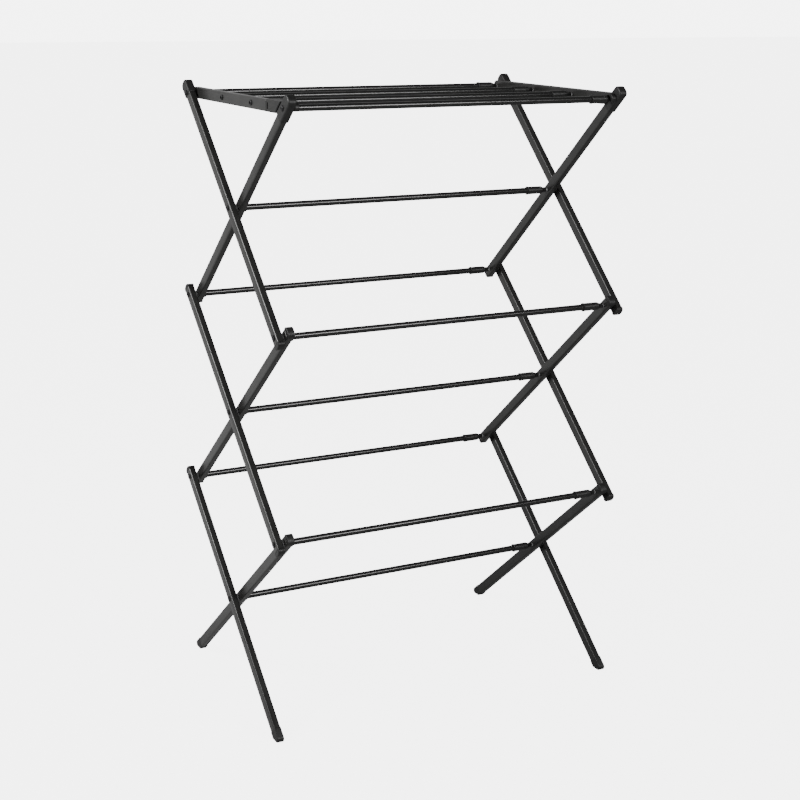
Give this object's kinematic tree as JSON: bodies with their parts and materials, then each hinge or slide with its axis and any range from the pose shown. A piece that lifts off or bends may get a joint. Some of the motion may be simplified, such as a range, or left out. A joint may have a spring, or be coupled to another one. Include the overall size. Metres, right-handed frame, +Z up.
{
  "type": "clothes drying rack",
  "caption": "Folding metal clothes drying rack with crossed flat-tube arms in stacked scissor tiers, round hanging bars and a lift-up top shelf of bars.",
  "frame": {"origin": "on the floor, midway between the feet", "axes": "+X along the bars, +Y to the back, +Z up"},
  "size_m": [0.6634, 0.415, 1.0589],
  "materials": {
    "arm_paint": "satin black powder coat",
    "bar_paint": "semi-gloss black powder coat",
    "black_plastic": "matte black moulding",
    "black_screw": "black zinc"
  },
  "bodies": {
    "legs_outer": {"leg_outer_left": "arm_paint", "leg_outer_right": "arm_paint", "foot_outer_left": "black_plastic", "foot_outer_right": "black_plastic", "bar_lower_back": "bar_paint", "bolt_lower_back_left": "black_screw", "bolt_lower_back_right": "black_screw"},
    "legs_inner": {"leg_inner_left": "arm_paint", "leg_inner_right": "arm_paint", "foot_inner_left": "black_plastic", "foot_inner_right": "black_plastic", "bar_leg_cross": "bar_paint", "bolt_leg_cross_left": "black_screw", "bolt_leg_cross_right": "black_screw"},
    "mid_outer": {"mid_outer_left": "arm_paint", "mid_outer_right": "arm_paint", "bar_lower_front": "bar_paint", "bolt_lower_front_left": "black_screw", "bolt_lower_front_right": "black_screw"},
    "mid_inner": {"mid_inner_left": "arm_paint", "mid_inner_right": "arm_paint", "bar_mid_cross": "bar_paint", "bolt_mid_cross_left": "black_screw", "bolt_mid_cross_right": "black_screw"},
    "top_outer": {"top_outer_left": "arm_paint", "top_outer_right": "arm_paint", "cap_outer_left": "black_plastic", "cap_outer_right": "black_plastic", "bar_upper_front": "bar_paint", "bolt_upper_front_left": "black_screw", "bolt_upper_front_right": "black_screw"},
    "top_inner": {"top_inner_left": "arm_paint", "top_inner_right": "arm_paint", "cap_inner_left": "black_plastic", "cap_inner_right": "black_plastic", "bar_upper_back": "bar_paint", "bar_top_cross": "bar_paint", "bar_top_front": "bar_paint", "bolt_upper_back_left": "black_screw", "bolt_upper_back_right": "black_screw", "bolt_top_cross_left": "black_screw", "bolt_top_cross_right": "black_screw", "bolt_top_front_left": "black_screw", "bolt_top_front_right": "black_screw"},
    "back_pivot": {"shelf_spacer_left": "black_plastic", "shelf_spacer_right": "black_plastic", "bolt_top_back_left": "black_screw", "bolt_top_back_right": "black_screw", "bar_top_back": "bar_paint"},
    "shelf": {"shelf_rail_left": "arm_paint", "shelf_rail_right": "arm_paint", "shelf_hook_left": "black_plastic", "shelf_hook_right": "black_plastic", "bar_shelf_back": "bar_paint", "bar_shelf_front": "bar_paint", "screw_shelf_back_left": "black_screw", "screw_shelf_back_right": "black_screw", "screw_shelf_front_left": "black_screw", "screw_shelf_front_right": "black_screw"}
  },
  "joints": [
    {"name": "fold", "type": "hinge", "parent": "legs_outer", "child": "legs_inner", "pos_m": [0, 0, 0.176], "axis": [-1, 0, 0], "range_deg": [0, 89]},
    {"name": "lower_joint_fold", "type": "hinge", "parent": "legs_inner", "child": "mid_outer", "pos_m": [0, -0.1889, 0.3413], "axis": [1, 0, 0], "range_deg": [0, 88.5]},
    {"name": "mid_cross_fold", "type": "hinge", "parent": "mid_outer", "child": "mid_inner", "pos_m": [0, 0, 0.51276], "axis": [-1, 0, 0], "range_deg": [0, 87.5]},
    {"name": "upper_joint_fold", "type": "hinge", "parent": "mid_inner", "child": "top_outer", "pos_m": [0, -0.1859, 0.6815], "axis": [1, 0, 0], "range_deg": [0, 85.8]},
    {"name": "top_cross_fold", "type": "hinge", "parent": "top_outer", "child": "top_inner", "pos_m": [0, 0, 0.86079], "axis": [-1, 0, 0], "range_deg": [0, 84.1]},
    {"name": "shelf_follow", "type": "hinge", "parent": "top_outer", "child": "back_pivot", "pos_m": [0, 0.1826, 1.0369], "axis": [-1, 0, 0], "range_deg": [0, 126.3]},
    {"name": "shelf_lift", "type": "hinge", "parent": "back_pivot", "child": "shelf", "pos_m": [0, 0.1826, 1.0369], "axis": [-1, 0, 0], "range_deg": [0, 90]}
  ],
  "couplings": [
    {"joint": "lower_joint_fold", "follows": "fold", "ratio": 0.98861},
    {"joint": "mid_cross_fold", "follows": "fold", "ratio": 0.97722},
    {"joint": "upper_joint_fold", "follows": "fold", "ratio": 0.95818},
    {"joint": "top_cross_fold", "follows": "fold", "ratio": 0.93914},
    {"joint": "shelf_follow", "follows": "fold", "ratio": 1.4129}
  ]
}
